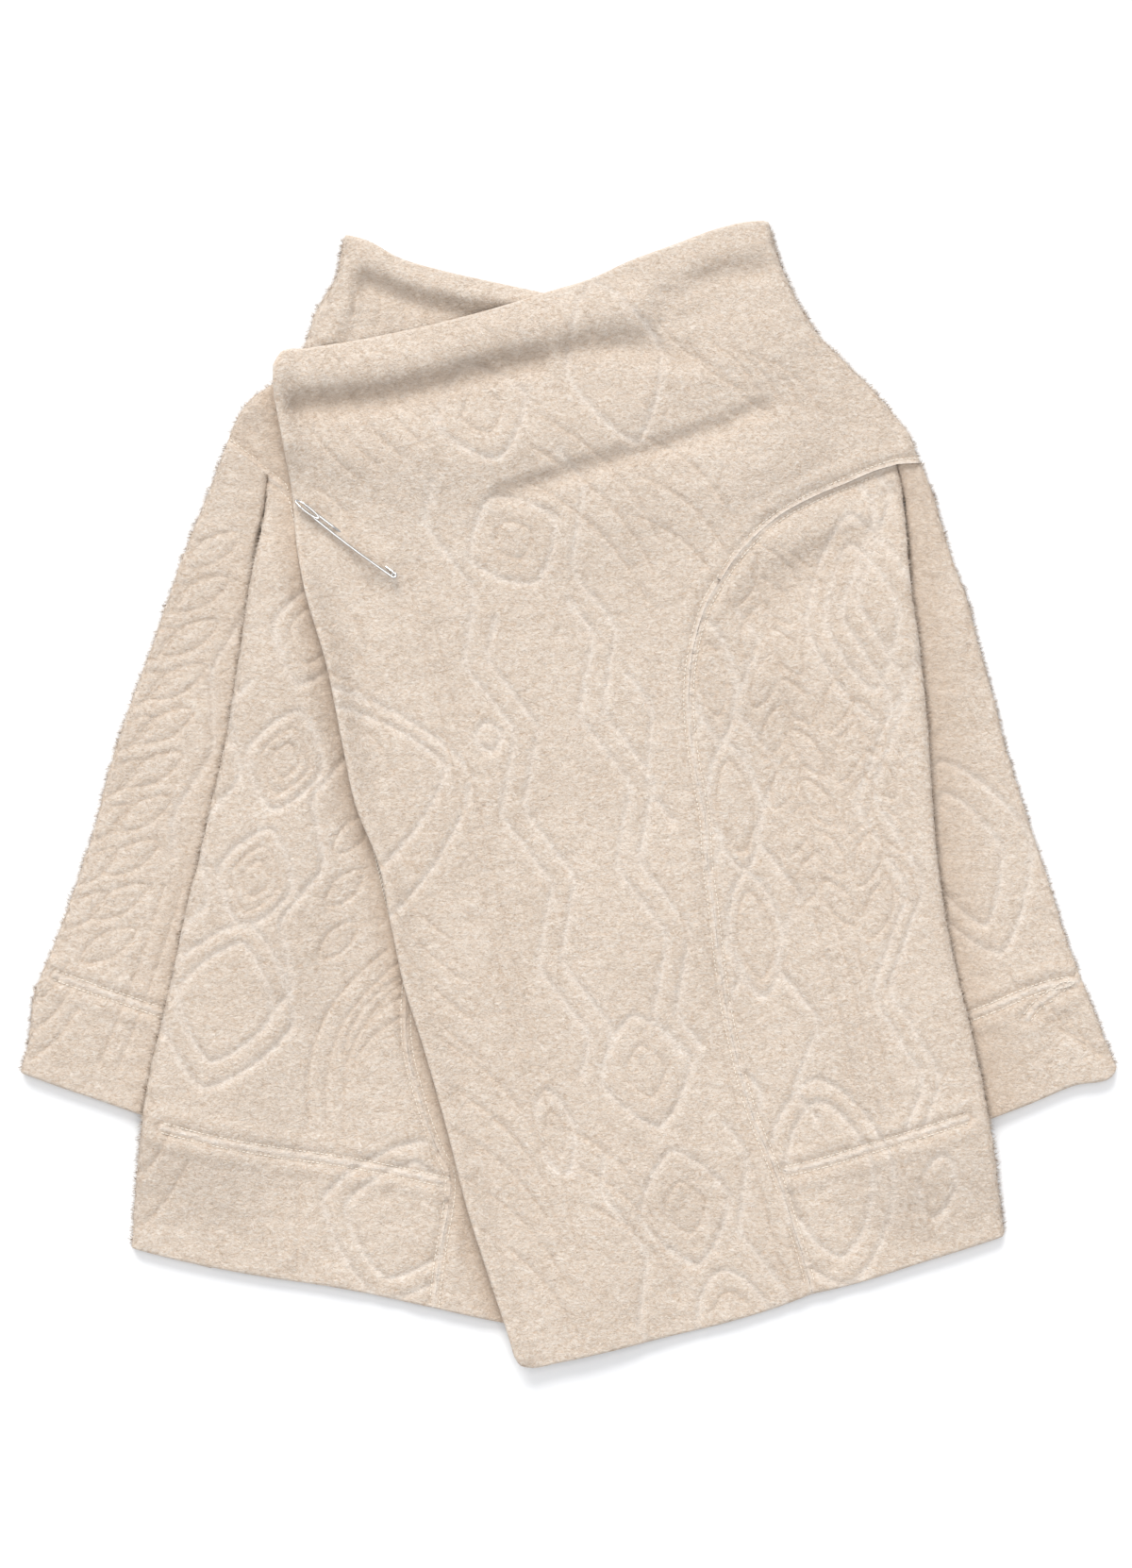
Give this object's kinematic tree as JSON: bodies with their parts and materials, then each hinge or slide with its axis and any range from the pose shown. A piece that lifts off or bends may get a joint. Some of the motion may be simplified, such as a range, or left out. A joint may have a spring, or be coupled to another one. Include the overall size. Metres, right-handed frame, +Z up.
{
  "type": "raglan wrap cardigan, laid flat",
  "caption": "Wrap cardigan of brushed plush with raglan sleeves, wide collar and kilt pin, lying flat on its back.",
  "frame": {"origin": "on the surface that the garment lies on, below the middle of its box", "axes": "+Z up out of the surface, +Y from the hem to the collar, +X to the right seen from above"},
  "size_m": [0.7499, 0.783, 0.0224],
  "materials": {
    "plush": "brushed oatmeal melange plush with a pressed cable pattern",
    "pin_metal": "polished silver-coloured wire"
  },
  "bodies": {
    "root": {"back": "plush", "front_under": "plush", "front_upper": "plush", "side_under": "plush", "side_upper": "plush", "sleeve_right": "plush", "sleeve_left": "plush", "pin_wire": "pin_metal", "pin_clasp": "pin_metal"}
  },
  "joints": []
}
